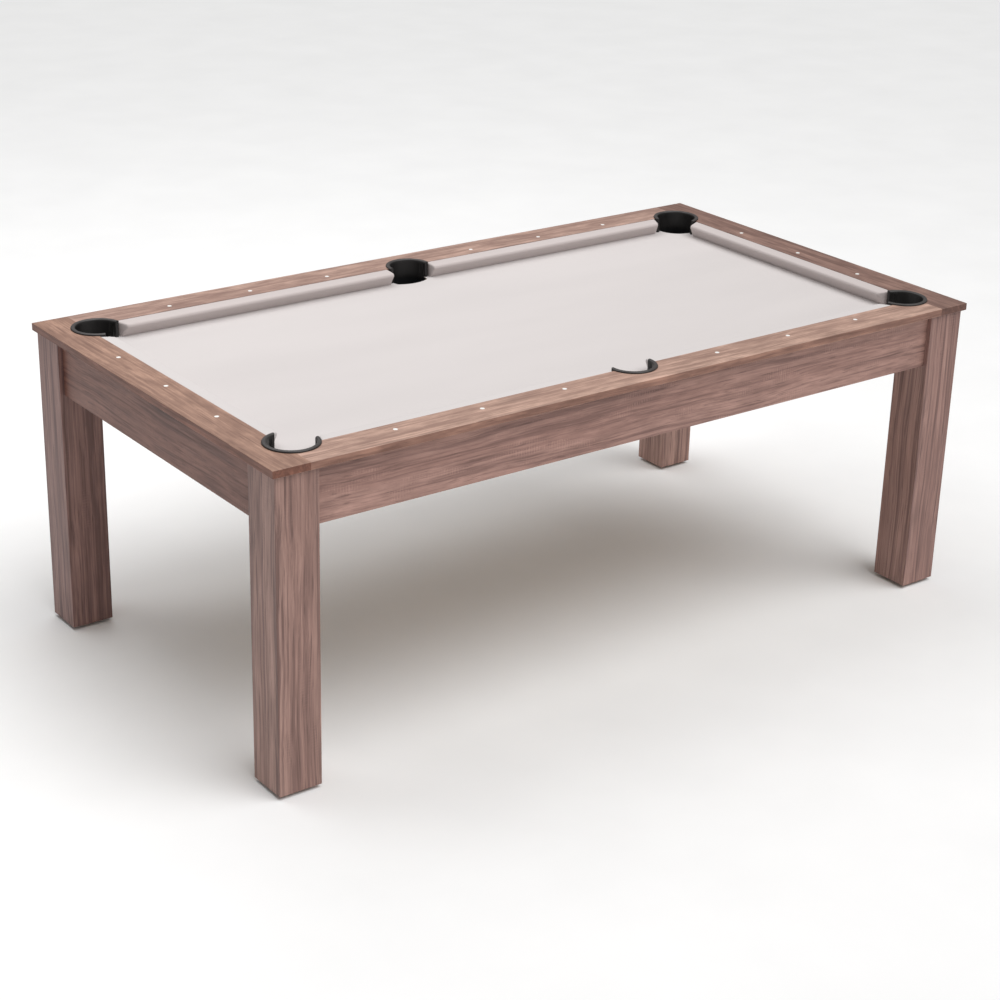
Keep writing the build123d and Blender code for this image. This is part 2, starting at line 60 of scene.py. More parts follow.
# ---- node helpers ----
class Nodes:
    """A material's node tree with short calls for the nodes used here."""

    def __init__(self, name):
        self.material = bpy.data.materials.new(name)
        self.material.use_nodes = True
        self.tree = self.material.node_tree
        self.tree.nodes.clear()
        self.output = self.add("ShaderNodeOutputMaterial")
        self.shader = self.add("ShaderNodeBsdfPrincipled")
        self.link(self.shader.outputs[0], self.output.inputs[0])

    def add(self, kind, **settings):
        node = self.tree.nodes.new(kind)
        for key, value in settings.items():
            setattr(node, key, value)
        return node

    def link(self, source, target):
        self.tree.links.new(source, target)

    def feed(self, socket, value):
        if isinstance(value, bpy.types.NodeSocket):
            self.link(value, socket)
        elif value is not None:
            socket.default_value = value

    def place(self):
        """Position in the row frame."""
        return self.add("ShaderNodeTexCoord").outputs["Object"]

    def upward(self):
        """How far the surface faces up or down: 1 where level, 0 where upright."""
        parts = self.add("ShaderNodeSeparateXYZ")
        self.link(self.add("ShaderNodeTexCoord").outputs["Normal"], parts.inputs[0])
        return self.math("ABSOLUTE", parts.outputs[2])

    def mapped(self, vector, scale=(1, 1, 1), move=(0, 0, 0), turn=(0, 0, 0)):
        node = self.add("ShaderNodeMapping")
        self.feed(node.inputs["Vector"], vector)
        node.inputs["Scale"].default_value = scale
        node.inputs["Location"].default_value = move
        node.inputs["Rotation"].default_value = turn
        return node.outputs[0]

    def noise(self, vector, scale, detail=3.0, rough=0.5, distortion=0.0):
        node = self.add("ShaderNodeTexNoise")
        self.feed(node.inputs["Vector"], vector)
        node.inputs["Scale"].default_value = scale
        node.inputs["Detail"].default_value = detail
        node.inputs["Roughness"].default_value = rough
        node.inputs["Distortion"].default_value = distortion
        return node

    def math(self, operation, first, second=None):
        node = self.add("ShaderNodeMath", operation=operation)
        self.feed(node.inputs[0], first)
        self.feed(node.inputs[1], second)
        return node.outputs[0]

    def range(self, value, low, high, to_low=0.0, to_high=1.0, smooth=False):
        node = self.add("ShaderNodeMapRange", interpolation_type="SMOOTHSTEP" if smooth else "LINEAR")
        self.feed(node.inputs["Value"], value)
        node.inputs["From Min"].default_value = low
        node.inputs["From Max"].default_value = high
        node.inputs["To Min"].default_value = to_low
        node.inputs["To Max"].default_value = to_high
        return node.outputs[0]

    def mix(self, factor, first, second, blend="MIX"):
        node = self.add("ShaderNodeMix", data_type="RGBA", blend_type=blend)
        self.feed(node.inputs["Factor"], factor)
        self.feed(node.inputs[6], rgba(first))
        self.feed(node.inputs[7], rgba(second))
        return node.outputs[2]

    def bump(self, height, strength, distance, normal=None):
        node = self.add("ShaderNodeBump")
        self.feed(node.inputs["Height"], height)
        node.inputs["Strength"].default_value = strength
        node.inputs["Distance"].default_value = distance
        if normal is not None:
            self.link(normal, node.inputs["Normal"])
        return node.outputs[0]

    def set(self, **values):
        """Feed sockets of the main shader by their names, with _ for spaces."""
        for name, value in values.items():
            self.feed(self.shader.inputs[name.replace("_", " ")], value)


def rgba(value):
    """A colour with its alpha; a socket passes through."""
    if isinstance(value, (tuple, list)) and len(value) == 3:
        return (*value, 1.0)
    return value


def scaled(colour, factor):
    """A colour times one number, or times another colour."""
    factors = factor if isinstance(factor, tuple) else (factor,) * 3
    return tuple(channel * share for channel, share in zip(colour, factors))


# ---- wood-print laminate ----
GRAIN_TURN = {"X": (0, 0, 0), "Y": (0, 0, math.radians(-90)), "Z": (0, math.radians(90), 0)}
GRAIN_SWAY = 0.030
RIB_SCALE = 42.0
RIB_STRENGTH = 0.32


def laminate(name, grain, seed, palette, tone, streak, saw=1.0, edge_print_and_shade=(1.0, 1.0, 1.0), reach=1.0,
             mottling=1.0):
    """Rustic oak print: streaks and fibres along the grain, saw ribs across it, and a few knots.

    tone multiplies the palette and carries each piece's painted light and shade; streak, saw and mottling
    are the strengths of those layers; reach makes the streaks longer; edge_print_and_shade multiplies the
    colour of upright faces, partly an edge band's own print and partly painted shade.
    """
    light, mid, dark = (scaled(palette[shade], tone) for shade in ("light", "mid", "dark"))
    m = Nodes(name)
    along = m.mapped(m.place(), turn=GRAIN_TURN[grain])
    along = m.mapped(along, move=(seed * 1.37, seed * 0.71, seed * 0.43))

    # the grain wanders a little from side to side
    wander = m.noise(m.mapped(along, scale=(2.2, 7, 7)), 1.0, 2.0, 0.5)
    bend = m.add("ShaderNodeVectorMath", operation="MULTIPLY_ADD")
    m.feed(bend.inputs[0], wander.outputs["Color"])
    bend.inputs[1].default_value = (0.0, GRAIN_SWAY, GRAIN_SWAY)
    m.feed(bend.inputs[2], along)
    bent = bend.outputs[0]

    def grain_noise(length, width, detail, rough):
        """Noise drawn out along the grain; length and width are how often it repeats in a metre."""
        return m.noise(m.mapped(bent, scale=(length / reach, width, width)), 1.0, detail, rough).outputs[0]

    broad = grain_noise(0.9, 11, 3.0, 0.55)
    mottle = grain_noise(11, 40, 3.0, 0.6)
    bands = grain_noise(1.6, 60, 4.0, 0.62)
    lines = grain_noise(4.0, 170, 4.0, 0.65)
    dashes = grain_noise(17, 230, 3.0, 0.6)
    fibres = grain_noise(14, 900, 2.0, 0.6)

    # ground colour, then mottling, dark streaks, light lines, dark dashes and fibres
    colour = m.mix(m.range(broad, 0.36, 0.64, smooth=True), mid, light)
    colour = m.mix(m.range(mottle, 0.60, 0.34, 0.0, 0.40 * mottling), colour, dark)
    colour = m.mix(m.range(mottle, 0.56, 0.74, 0.0, 0.40 * mottling), colour, scaled(light, 1.22))
    colour = m.mix(m.range(bands, 0.48, 0.66, 0.0, 0.85 * streak, smooth=True), colour, dark)
    colour = m.mix(m.range(lines, 0.51, 0.68, 0.0, 0.70 * streak), colour, scaled(dark, 0.72))
    colour = m.mix(m.range(lines, 0.45, 0.28, 0.0, 0.55), colour, scaled(light, 1.25))
    colour = m.mix(m.range(dashes, 0.59, 0.70, 0.0, 0.60 * streak), colour, scaled(dark, 0.55))
    colour = m.mix(m.range(fibres, 0.35, 0.70, 0.0, 0.28), colour, scaled(dark, 0.9))

    # saw ribs in patches
    ribs = m.add("ShaderNodeTexWave", wave_type="BANDS", bands_direction="X", wave_profile="SIN")
    m.feed(ribs.inputs["Vector"], m.mapped(bent, scale=(1, 0.35, 0.35)))
    ribs.inputs["Scale"].default_value = RIB_SCALE
    ribs.inputs["Distortion"].default_value = 4.5
    ribs.inputs["Detail"].default_value = 3.0
    ribs.inputs["Detail Scale"].default_value = 3.2
    patches = m.noise(m.mapped(bent, scale=(6, 26, 26), move=(5.3, 1.9, 4.1)), 1.0, 4.0, 0.65)
    rib_mask = m.range(patches.outputs[0], 0.54, 0.70, smooth=True)
    rib_share = m.math("MULTIPLY", m.range(ribs.outputs["Fac"], 0.45, 1.0), rib_mask)
    colour = m.mix(m.math("MULTIPLY", rib_share, RIB_STRENGTH * saw), colour, scaled(light, 1.30))

    # a few knots, and the darker upright faces: partly an edge band's own print, partly painted shade
    knots = m.add("ShaderNodeTexVoronoi", feature="F1", distance="EUCLIDEAN")
    m.feed(knots.inputs["Vector"], m.mapped(bent, scale=(1.9, 8.5, 8.5), move=(2.7, 0.4, 6.1)))
    knots.inputs["Scale"].default_value = 1.0
    knots.inputs["Randomness"].default_value = 1.0
    few = m.range(m.noise(m.mapped(bent, scale=(1.3, 4, 4)), 1.0, 1.0).outputs[0], 0.52, 0.62, smooth=True)
    knot = m.math("MULTIPLY", m.range(knots.outputs["Distance"], 0.22, 0.03, smooth=True), few)
    colour = m.mix(m.math("MULTIPLY", knot, 0.70), colour, scaled(dark, 0.5))

    colour = m.mix(m.range(m.upward(), 0.60, 0.30), colour, edge_print_and_shade, "MULTIPLY")
    rough = m.range(lines, 0.3, 0.75, 0.40, 0.54)
    m.set(Base_Color=colour, Roughness=rough, Specular_IOR_Level=0.35)
    pores = m.bump(m.math("ADD", lines, m.math("MULTIPLY", fibres, 0.5)), 0.35, 0.00025)
    m.set(Normal=m.bump(rib_share, 0.25, 0.00020, pores))
    return m.material


# TOP is lighter than BODY: partly the boards' own print, partly painted light on the upward-facing tops
TOP = dict(light=(0.500, 0.328, 0.258), mid=(0.405, 0.258, 0.203), dark=(0.240, 0.143, 0.113))
BODY = dict(light=(0.445, 0.284, 0.238), mid=(0.345, 0.208, 0.173), dark=(0.178, 0.103, 0.089))


def dress(node, material):
    """Give a CAD node its material."""
    slots = NODES[node].data.materials
    if not slots:
        slots.append(material)
    for index in range(len(slots)):
        slots[index] = material


# each piece's grain direction, how light and warm it is made, and a board's edges against its top: these
# differences between pieces of one laminate are mostly painted light and shade, partly the print's own tone
BOARD_TONES = {
    "front": ("X", 1.17, (0.66, 0.54, 0.50)),
    "back": ("X", (0.99, 0.99, 1.02), (0.66, 0.54, 0.50)),
    "left": ("Y", (0.89, 0.82, 0.76), (0.60, 0.42, 0.38)),
    "right": ("Y", (0.62, 0.565, 0.575), (0.66, 0.54, 0.50)),
}
# painted light and shade: the front apron is made lighter and the short aprons darker
APRON_TONES = {
    "front": ("X", (1.09, 1.02, 1.01)),
    "back": ("X", 1.0),
    "left": ("Y", (0.57, 0.43, 0.39)),
    "right": ("Y", (0.66, 0.62, 0.60)),
}
# painted light and shade: the back-left leg is made darker where it stands in shade, the back-right lighter
LEG_TONES = {
    "front_left": (1.0, 0.98, 0.98),
    "front_right": (1.0, 0.95, 0.96),
    "back_left": (0.80, 0.75, 0.78),
    "back_right": (1.08, 1.05, 1.04),
}

for seed, (side, (grain, tone, edge_print_and_shade)) in enumerate(BOARD_TONES.items()):
    board = laminate(f"rail_{side}", grain, seed + 1, TOP, tone, streak=0.8, saw=0.5, edge_print_and_shade=edge_print_and_shade,
                     mottling=1.9)
    dress(f"rail_board_{side}", board)
for seed, (side, (grain, tone)) in enumerate(APRON_TONES.items()):
    dress(f"apron_{side}", laminate(f"apron_{side}", grain, seed + 11, BODY, tone, streak=0.85))
for seed, (corner, tone) in enumerate(LEG_TONES.items()):
    leg = laminate(f"leg_{corner}", "Z", seed + 21, BODY, tone, streak=1.1, saw=0.35, reach=2.2)
    dress(f"leg_{corner}", leg)


# ---- plain board, plastics and steel ----
def raw_board():
    m = Nodes("raw_board")
    chips = m.add("ShaderNodeTexVoronoi", feature="F1")
    m.feed(chips.inputs["Vector"], m.mapped(m.place(), scale=(260, 170, 420)))
    grains = m.noise(m.place(), 900.0, 3.0, 0.6)
    cloudy = m.noise(m.place(), 9.0, 4.0, 0.55)
    colour = m.mix(m.range(chips.outputs["Distance"], 0.1, 0.8), (0.36, 0.255, 0.155), (0.50, 0.375, 0.245))
    colour = m.mix(m.range(grains.outputs[0], 0.35, 0.7, 0.0, 0.4), colour, (0.27, 0.18, 0.11))
    colour = m.mix(m.range(cloudy.outputs[0], 0.3, 0.7, 0.0, 0.35), colour, (0.44, 0.33, 0.21))
    m.set(Base_Color=colour, Roughness=m.range(grains.outputs[0], 0.3, 0.7, 0.72, 0.88))
    m.set(Normal=m.bump(m.math("ADD", chips.outputs["Distance"], grains.outputs[0]), 0.4, 0.0003))
    return m.material


def black_plastic(name, colour, rough_low, rough_high, grain, shaded_wall_tone=1.0):
    """Moulded black plastic with a fine leathery grain and faint scuffs; painted shade makes its upright
    walls darker and plainer.
    """
    m = Nodes(name)
    pebbles = m.add("ShaderNodeTexVoronoi", feature="SMOOTH_F1")
    m.feed(pebbles.inputs["Vector"], m.place())
    pebbles.inputs["Scale"].default_value = 1100.0
    scuffs = m.noise(m.mapped(m.place(), scale=(1, 1, 0.3)), 42.0, 5.0, 0.65)
    flow = m.noise(m.place(), 9.0, 2.0, 0.5)
    tint = m.mix(m.range(scuffs.outputs[0], 0.55, 0.8, 0.0, 0.6), colour, scaled(colour, 1.7))
    tint = m.mix(m.range(flow.outputs[0], 0.3, 0.7, 0.0, 0.5), tint, scaled(colour, 0.8))
    # painted shade: upright walls are mixed toward black, by how much shaded_wall_tone leaves out
    m.set(Base_Color=m.mix(m.range(m.upward(), 0.75, 0.25, 0.0, 1.0 - shaded_wall_tone), tint, (0.0, 0.0, 0.0)))
    m.set(Roughness=m.range(scuffs.outputs[0], 0.3, 0.75, rough_low, rough_high))
    m.set(Normal=m.bump(pebbles.outputs["Distance"], grain, 0.00012))
    return m.material


def rubber():
    m = Nodes("cushion_rubber")
    dust = m.noise(m.place(), 60.0, 5.0, 0.6)
    pores = m.noise(m.place(), 1400.0, 2.0, 0.6)
    m.set(Base_Color=m.mix(m.range(dust.outputs[0], 0.5, 0.8), (0.030, 0.029, 0.028), (0.075, 0.072, 0.068)))
    m.set(Roughness=m.range(dust.outputs[0], 0.3, 0.7, 0.70, 0.86))
    m.set(Normal=m.bump(pores.outputs[0], 0.4, 0.0002))
    return m.material


def plated_steel():
    m = Nodes("plated_steel")
    brushed = m.noise(m.mapped(m.place(), scale=(1, 1, 0.05)), 2400.0, 3.0, 0.6)
    spots = m.noise(m.place(), 90.0, 4.0, 0.6)
    m.set(Metallic=1.0)
    m.set(Base_Color=m.mix(m.range(spots.outputs[0], 0.45, 0.75), (0.62, 0.62, 0.63), (0.47, 0.46, 0.44)))
    m.set(Roughness=m.range(brushed.outputs[0], 0.3, 0.7, 0.24, 0.42))
    m.set(Normal=m.bump(brushed.outputs[0], 0.15, 0.00008))
    return m.material


def sight_plastic():
    m = Nodes("sight_plastic")
    pearl = m.noise(m.mapped(m.place(), scale=(1, 2.6, 1)), 520.0, 3.0, 0.6, 1.2)
    m.set(Base_Color=m.mix(m.range(pearl.outputs[0], 0.35, 0.7), (0.98, 0.98, 0.96), (0.93, 0.92, 0.89)))
    m.set(Roughness=m.range(pearl.outputs[0], 0.3, 0.7, 0.16, 0.30), Coat_Weight=0.3, Coat_Roughness=0.1)
    m.set(Normal=m.bump(pearl.outputs[0], 0.1, 0.00005))
    return m.material


# ---- cloth ----
THREAD = 0.00055  # width of one thread, in metres


def table_cloth(name, along, colour):
    """Short-nap wool cloth: two crossed threads, a soft fuzz and slight shading along the nap."""
    m = Nodes(name)
    place = m.mapped(m.place(), turn=GRAIN_TURN[along])
    waves = []
    for direction in ("X", "Y"):
        wave = m.add("ShaderNodeTexWave", wave_type="BANDS", bands_direction=direction, wave_profile="SIN")
        m.feed(wave.inputs["Vector"], place)
        wave.inputs["Scale"].default_value = 0.5 / THREAD / math.pi
        wave.inputs["Distortion"].default_value = 0.6
        wave.inputs["Detail"].default_value = 1.0
        wave.inputs["Detail Scale"].default_value = 1.5
        waves.append(wave.outputs["Fac"])
    weave = m.math("MULTIPLY", *waves)
    fuzz = m.noise(place, 1500.0, 3.0, 0.65)
    slubs = m.noise(m.mapped(place, scale=(18, 420, 420)), 1.0, 3.0, 0.6)
    nap = m.noise(m.mapped(place, scale=(1.2, 5, 5)), 1.0, 3.0, 0.5)
    tint = m.mix(m.range(weave, 0.0, 1.0, 0.0, 0.5), scaled(colour, 0.90), scaled(colour, 1.06))
    tint = m.mix(m.range(fuzz.outputs[0], 0.3, 0.7, 0.0, 0.45), tint, scaled(colour, 0.93))
    tint = m.mix(m.range(slubs.outputs[0], 0.58, 0.75, 0.0, 0.25), tint, scaled(colour, 0.86))
    tint = m.mix(m.range(nap.outputs[0], 0.3, 0.7, 0.0, 0.5), tint, scaled(colour, 1.03))
    m.set(Base_Color=tint, Roughness=m.range(fuzz.outputs[0], 0.3, 0.7, 0.84, 0.95))
    m.set(Specular_IOR_Level=0.2, Sheen_Weight=0.35, Sheen_Roughness=0.45)
    height = m.math("ADD", m.math("MULTIPLY", weave, 0.6), m.math("MULTIPLY", fuzz.outputs[0], 0.7))
    m.set(Normal=m.bump(height, 0.35, 0.00018))
    return m.material


BED_COLOUR = (0.655, 0.612, 0.603)
# painted shade: the back and right cushions use a darker copy of the bed's cloth colour
SHADED_CUSHION_COLOUR = (0.585, 0.520, 0.506)
BED_CLOTH = table_cloth("bed_cloth", "X", BED_COLOUR)
CUSHION_CLOTH = {
    ("X", -1): table_cloth("cushion_cloth_front", "X", BED_COLOUR),
    ("X", 1): table_cloth("cushion_cloth_back", "X", SHADED_CUSHION_COLOUR),
    ("Y", -1): table_cloth("cushion_cloth_left", "Y", BED_COLOUR),
    ("Y", 1): table_cloth("cushion_cloth_right", "Y", SHADED_CUSHION_COLOUR),
}
RAW_BOARD = raw_board()
RIM_BLACK = black_plastic("liner_plastic", (0.046, 0.040, 0.039), 0.40, 0.56, 0.30, shaded_wall_tone=0.22)
CUP_BLACK = black_plastic("cup_plastic", (0.013, 0.013, 0.014), 0.26, 0.40, 0.18)
PAD_BLACK = black_plastic("pad_plastic", (0.030, 0.030, 0.030), 0.50, 0.66, 0.35)
RUBBER = rubber()
STEEL = plated_steel()
SIGHT = sight_plastic()

BY_SLOT = {
    "raw_board": RAW_BOARD,
    "plated_steel": STEEL,
    "pad_plastic": PAD_BLACK,
    "sight_plastic": SIGHT,
    "liner_plastic": RIM_BLACK,
    "cup_plastic": CUP_BLACK,
}
for part in frame["record"]["subparts"]:
    if part["material_slot"] in BY_SLOT:
        dress(part["node"], BY_SLOT[part["material_slot"]])


# ---- mesh helpers ----
CLOTH_THICK = 0.9  # mm


def new_piece(name, bm, material, smooth_angle):
    """Turn a bmesh into an object that rides on the table."""
    bmesh.ops.recalc_face_normals(bm, faces=bm.faces)
    mesh = bpy.data.meshes.new(name)
    bm.to_mesh(mesh)
    bm.free()
    piece = bpy.data.objects.new(name, mesh)
    bpy.context.scene.collection.objects.link(piece)
    mesh.materials.append(material)
    mesh.shade_smooth()
    mesh.set_sharp_from_angle(angle=math.radians(smooth_angle))
    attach(piece, "table")
    return piece


def thicken(piece):
    """Give a cloth its thickness on the inner side."""
    cloth_body = piece.modifiers.new("thickness", "SOLIDIFY")
    cloth_body.thickness = CLOTH_THICK * MM
    cloth_body.offset = -1


def strip_faces(bm, rows, closed_columns=False):
    """Quads between rows of points."""
    grid = [[bm.verts.new(point) for point in row] for row in rows]
    for first, second in zip(grid, grid[1:]):
        column_count = len(first) if closed_columns else len(first) - 1
        for j in range(column_count):
            k = (j + 1) % len(first)
            bm.faces.new((first[j], first[k], second[k], second[j]))
    return grid


# ---- pocket outlines ----
HOLE_STEPS = 144
SIDE_HOLE_MIDDLE = 22  # mm in from the wood, a point inside a side pocket's drop hole


class Pocket:
    """Where a pocket is, and its ring and bed hole, in distances in from the boards' inner corner."""

    def __init__(self, name, x_sign, y_sign):
        self.name = name
        self.x_sign, self.y_sign = x_sign, y_sign
        if x_sign:
            self.radius, self.centre, self.cut = 54 * MM, (25 * MM, 25 * MM), 9 * MM
            self.edge_radius, self.edge_centre = 60 * MM, (7 * MM, 7 * MM)
            self.turn = 270
        else:
            self.radius, self.centre, self.cut = 51 * MM, (0.0, 8 * MM), 4 * MM
            self.edge_radius, self.edge_centre = 90 * MM, (0.0, -49.5 * MM)
            self.turn = 180

    def world(self, inwards_x, inwards_y):
        """Plan position of a point given as distances in from the wood."""
        y = self.y_sign * (INNER_Y - inwards_y)
        if self.x_sign:
            return (self.x_sign * (INNER_X - inwards_x), y)
        return (inwards_x, y)

    def ring_point(self, radius, share, pull_in):
        """A point on the ring: share 0 and 1 are its ends, pulled back along it by pull_in."""
        lean = math.asin(self.cut / radius)
        if not self.x_sign:
            lean = -lean
        first, last = -lean, -math.radians(self.turn) + lean
        step = pull_in / radius
        first, last = first - step, last + step
        angle = first + share * (last - first)
        x = self.centre[0] + radius * math.cos(angle)
        y = self.centre[1] + radius * math.sin(angle)
        return self.world(x, y)

    def hole(self, grow):
        """The outline of the hole in the bed, grown outwards."""
        middle = [(a + b) / 2 for a, b in zip(self.centre, self.edge_centre)]
        if not self.x_sign:
            middle[1] = SIDE_HOLE_MIDDLE * MM
        points = []
        for step in range(HOLE_STEPS):
            angle = 2 * math.pi * step / HOLE_STEPS
            way = (math.cos(angle), math.sin(angle))
            reach = []
            for centre, radius in ((self.centre, self.radius), (self.edge_centre, self.edge_radius)):
                to_centre = (centre[0] - middle[0], centre[1] - middle[1])
                along = way[0] * to_centre[0] + way[1] * to_centre[1]
                apart = to_centre[0] ** 2 + to_centre[1] ** 2
                reach.append(along + math.sqrt(along**2 - apart + (radius + grow) ** 2))
            far = min(reach)
            points.append(self.world(middle[0] + far * way[0], middle[1] + far * way[1]))
        return points


POCKETS = [Pocket(name, *signs) for name, signs in CORNERS.items()]
POCKETS += [Pocket("front_side", 0, -1), Pocket("back_side", 0, 1)]


# ---- pocket liners: drafted wall, rounded rim, thin flange, rounded ends with ribs ----
LINER_SECTION = (
    # (distance out from the inner wall, bottom height, top height), in mm from the bed
    (-3.7, -8.0, -2.5), (-3.4, -0.4, 0.6), (-2.6, -0.4, 7.0), (-1.7, -0.4, 14.0), (-0.9, -0.4, 20.5),
    (-0.3, -0.4, 27.0), (0.0, 0.1, 32.0), (0.2, 0.1, 35.2), (0.6, 0.1, 38.2), (1.3, 0.1, 40.4),
    (2.3, 0.1, 41.7), (3.6, 0.1, 42.4), (5.2, 0.1, 42.8), (7.0, 0.1, 42.8), (8.7, 0.1, 42.6),
    (10.0, 38.15, 42.2), (11.0, 38.15, 41.5), (11.7, 38.15, 40.5), (12.0, 38.4, 39.2),
)


# all in mm: the wall's ribs, the steps along the ring, and how its ends are rounded in plan
RIB_PLACES = (7.0, 12.0, 17.0)
RIB_HEIGHT = 0.9
RIB_HALF_WIDTH = 1.3
RIBBED_LENGTH = 21
RIBBED_OFFSET = 0.5
FINE_STEP, COARSE_STEP = 0.65, 3.2
RING_HALF_WIDTH = 6.0
END_ROUND = 5.0
END_CURVE = 2.4  # a power: 2 is a circle, more is squarer


def rib_height(from_end):
    """How far the wall's ribs stand in, by distance from the ring's end."""
    total = 0.0
    for place in RIB_PLACES:
        total += RIB_HEIGHT * max(0.0, 1 - ((from_end - place) / RIB_HALF_WIDTH) ** 2)
    return total


def pocket_liner(pocket):
    """The ring round a pocket, in place of its CAD solid."""
    arc = math.radians(pocket.turn) * pocket.radius / MM
    shares = [0.0]
    while shares[-1] < 1:
        from_end = min(shares[-1], 1 - shares[-1]) * arc
        shares.append(min(1.0, shares[-1] + (FINE_STEP if from_end < RIBBED_LENGTH else COARSE_STEP) / arc))

    def point(offset, height, share):
        """A point of the section, drawn back at the ring's ends so that they are rounded in plan."""
        spread = min(1.0, abs(offset - RING_HALF_WIDTH) / RING_HALF_WIDTH)
        pull = END_ROUND * (1 - (1 - spread**END_CURVE) ** (1 / END_CURVE)) if offset > 0 else END_ROUND
        inward = rib_height(min(share, 1 - share) * arc) if offset < RIBBED_OFFSET else 0.0
        x, y = pocket.ring_point(pocket.radius + (offset - inward) * MM, share, pull * MM)
        return (x, y, BED_TOP + height * MM)

    # the verts of one section are a row of tops and a row of bottoms
    bm = bmesh.new()
    tops, bottoms = [], []
    for share in shares:
        tops.append([bm.verts.new(point(out, top, share)) for out, low, top in LINER_SECTION])
        bottoms.append([bm.verts.new(point(out, low, share)) for out, low, top in LINER_SECTION])
    last = len(LINER_SECTION) - 1
    for i in range(len(shares) - 1):
        for j in range(last):
            bm.faces.new((tops[i][j], tops[i][j + 1], tops[i + 1][j + 1], tops[i + 1][j]))
            bm.faces.new((bottoms[i][j], bottoms[i + 1][j], bottoms[i + 1][j + 1], bottoms[i][j + 1]))
        for j in (0, last):
            bm.faces.new((tops[i][j], bottoms[i][j], bottoms[i + 1][j], tops[i + 1][j]))
    for i in (0, len(shares) - 1):
        for j in range(last):
            bm.faces.new((tops[i][j], tops[i][j + 1], bottoms[i][j + 1], bottoms[i][j]))
    piece = new_piece(f"liner_{pocket.name}", bm, RIM_BLACK, 38)
    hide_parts(f"pocket_liner_{pocket.name}")


for pocket in POCKETS:
    pocket_liner(pocket)


# ---- bed cloth: one sheet stretched over the slab and rolled over the six drop edges ----
def polygon_area(points):
    """Area inside a closed outline."""
    total = 0.0
    for (x0, y0), (x1, y1) in zip(points, points[1:] + points[:1]):
        total += x0 * y1 - x1 * y0
    return abs(total) / 2


# (how far out from the drop edge, height from the bed), in mm, from the flat down into the pocket
DROP_LIP = ((3.5, 0.0), (2.2, -0.05), (1.3, -0.3), (0.6, -0.8), (0.2, -1.5), (0.0, -2.4), (0.0, -6.0))


def bed_cloth():
    """The bed's cloth, cut by the six drop edges and rolled down into them."""
    low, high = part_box("bed_cloth")
    bm = bmesh.new()
    corners = [(low[0], low[1]), (high[0], low[1]), (high[0], high[1]), (low[0], high[1])]
    border = [bm.verts.new((x, y, BED_TOP)) for x, y in corners]
    edges = [bm.edges.new((border[i], border[(i + 1) % 4])) for i in range(4)]
    for pocket in POCKETS:
        rings = [[bm.verts.new((x, y, BED_TOP + drop * MM)) for x, y in pocket.hole(grow * MM)]
                 for grow, drop in DROP_LIP]
        edges += [bm.edges.new((rings[0][i], rings[0][(i + 1) % HOLE_STEPS])) for i in range(HOLE_STEPS)]
        for outer, inner in zip(rings, rings[1:]):
            for i in range(HOLE_STEPS):
                k = (i + 1) % HOLE_STEPS
                bm.faces.new((outer[i], outer[k], inner[k], inner[i]))
    bmesh.ops.triangle_fill(bm, edges=edges, use_beauty=True, use_dissolve=False)
    piece = new_piece("bed_cloth_sheet", bm, BED_CLOTH, 50)
    if sum(p.normal.z * p.area for p in piece.data.polygons) < 0:
        piece.data.flip_normals()
    thicken(piece)
    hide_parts("bed_cloth")
    width, length = high[0] - low[0], high[1] - low[1]
    flat_area = width * length - sum(polygon_area(pocket.hole(0)) for pocket in POCKETS)


bed_cloth()


# ---- cushions: rubber nose strips and the cloth pulled over them and round their ends ----
# the section's sharp corners, as (distance out from the wood, height above the bed) in mm
SECTION_BACK, SECTION_NOSE, SECTION_FOOT = Vector((0, 37.25)), Vector((41.4, 35.0)), Vector((18.3, -3.0))
NOSE_ROUND = 7.0
NOSE_STEPS = 12
TOP_CROWN = 0.35
FACE_HOLLOW = -0.5


def cushion_profile(inset):
    """Points and outward normals from the back of the top, round the nose, to under the foot."""
    into_top = (SECTION_BACK - SECTION_NOSE).normalized()
    into_face = (SECTION_FOOT - SECTION_NOSE).normalized()
    half = math.acos(into_top.dot(into_face)) / 2
    middle = SECTION_NOSE + (into_top + into_face).normalized() * (NOSE_ROUND / math.sin(half))
    top_normal = Vector((into_top.y, -into_top.x))
    face_normal = Vector((-into_face.y, into_face.x))
    points = []
    top_end = middle + top_normal * NOSE_ROUND
    for share in (0.0, 0.12, 0.3, 0.5, 0.7, 0.85, 0.95):
        crown = TOP_CROWN * math.sin(math.pi * share)
        points.append((SECTION_BACK.lerp(top_end, share) + top_normal * crown, top_normal))
    start, end = math.atan2(top_normal.y, top_normal.x), math.atan2(face_normal.y, face_normal.x)
    for step in range(NOSE_STEPS + 1):
        angle = start + (end - start) * step / NOSE_STEPS
        normal = Vector((math.cos(angle), math.sin(angle)))
        points.append((middle + normal * NOSE_ROUND, normal))
    face_start = middle + face_normal * NOSE_ROUND
    for share in (0.15, 0.35, 0.55, 0.75, 0.9, 1.0):
        hollow = FACE_HOLLOW * math.sin(math.pi * share)
        points.append((face_start.lerp(SECTION_FOOT, share) + face_normal * hollow, face_normal))
    return [(point - normal * inset, normal) for point, normal in points]


# where a cushion's ends are: from the boards' inner corner, and from the table's middle at a side pocket
AT_WOOD, AT_NOSE = 86.0, 104.0
SIDE_AT_WOOD, SIDE_AT_NOSE = 64.0, 65.5
END_SPAN = 41.1  # how far across the cushion its end goes from one to the other
LONG_WOOD_END = INNER_X / MM - AT_WOOD
LONG_NOSE_END = INNER_X / MM - AT_NOSE
SHORT_WOOD_END = INNER_Y / MM - AT_WOOD
SHORT_NOSE_END = INNER_Y / MM - AT_NOSE


